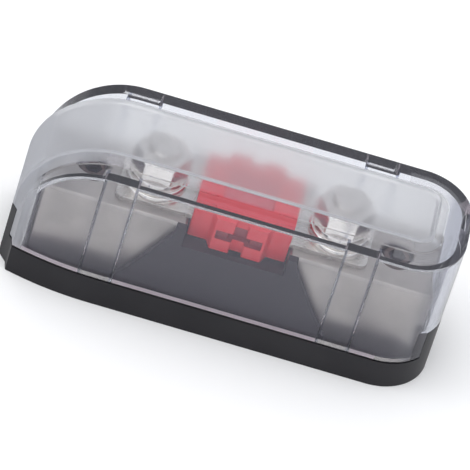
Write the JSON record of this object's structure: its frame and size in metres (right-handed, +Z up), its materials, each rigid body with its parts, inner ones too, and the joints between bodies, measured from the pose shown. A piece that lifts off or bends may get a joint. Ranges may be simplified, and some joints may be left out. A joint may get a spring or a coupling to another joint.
{
  "type": "fuse holder",
  "caption": "Strip fuse holder: black base with clamp terminals and studs, a red fuse bolted between them, and a clear lift-off cover rounded at one end.",
  "frame": {"origin": "centre of the flat underside of the base", "axes": "+Z up from the surface it is fixed to, +X along its length towards the square end, +Y to the back"},
  "size_m": [0.0702, 0.0234, 0.0275],
  "materials": {
    "black_plastic": "fine satin, moulded",
    "clear_plastic": "clear walls, frosted raised panel",
    "red_plastic": "satin, slightly translucent",
    "red_clear": "clear",
    "plated_strip": "nickel plated",
    "nickel_plate": "satin nickel plated",
    "bright_steel": "bright plated",
    "dark_steel": "blackened"
  },
  "bodies": {
    "base": {"base": "black_plastic", "fuse_element": "plated_strip", "fuse_body_lower": "red_plastic", "fuse_body_upper": "red_plastic", "fuse_window": "red_clear", "left_terminal_block": "nickel_plate", "left_stud": "bright_steel", "left_flat_washer": "bright_steel", "left_lock_washer": "bright_steel", "left_block_screw": "bright_steel", "right_terminal_block": "nickel_plate", "right_stud": "bright_steel", "right_flat_washer": "bright_steel", "right_lock_washer": "bright_steel", "right_block_screw": "bright_steel"},
    "cover": {"cover": "clear_plastic"},
    "left_stud_nut": {"left_stud_nut": "bright_steel"},
    "right_stud_nut": {"right_stud_nut": "bright_steel"},
    "left_set_screw": {"left_set_screw": "dark_steel"},
    "right_set_screw": {"right_set_screw": "dark_steel"}
  },
  "joints": [
    {"name": "cover_lift", "type": "slide", "parent": "base", "child": "cover", "axis": [0, 0, 1], "range_m": [0, 0.03]},
    {"name": "left_nut_turn", "type": "hinge", "parent": "base", "child": "left_stud_nut", "pos_m": [-0.0145, 0, 0.0226], "axis": [0, 0, 1], "continuous": true},
    {"name": "left_set_screw_turn", "type": "hinge", "parent": "base", "child": "left_set_screw", "pos_m": [-0.0244, 0, 0.014], "axis": [0, 0, 1], "continuous": true},
    {"name": "right_nut_turn", "type": "hinge", "parent": "base", "child": "right_stud_nut", "pos_m": [0.0155, 0, 0.0226], "axis": [0, 0, 1], "continuous": true},
    {"name": "right_set_screw_turn", "type": "hinge", "parent": "base", "child": "right_set_screw", "pos_m": [0.0254, 0, 0.014], "axis": [0, 0, 1], "continuous": true}
  ]
}
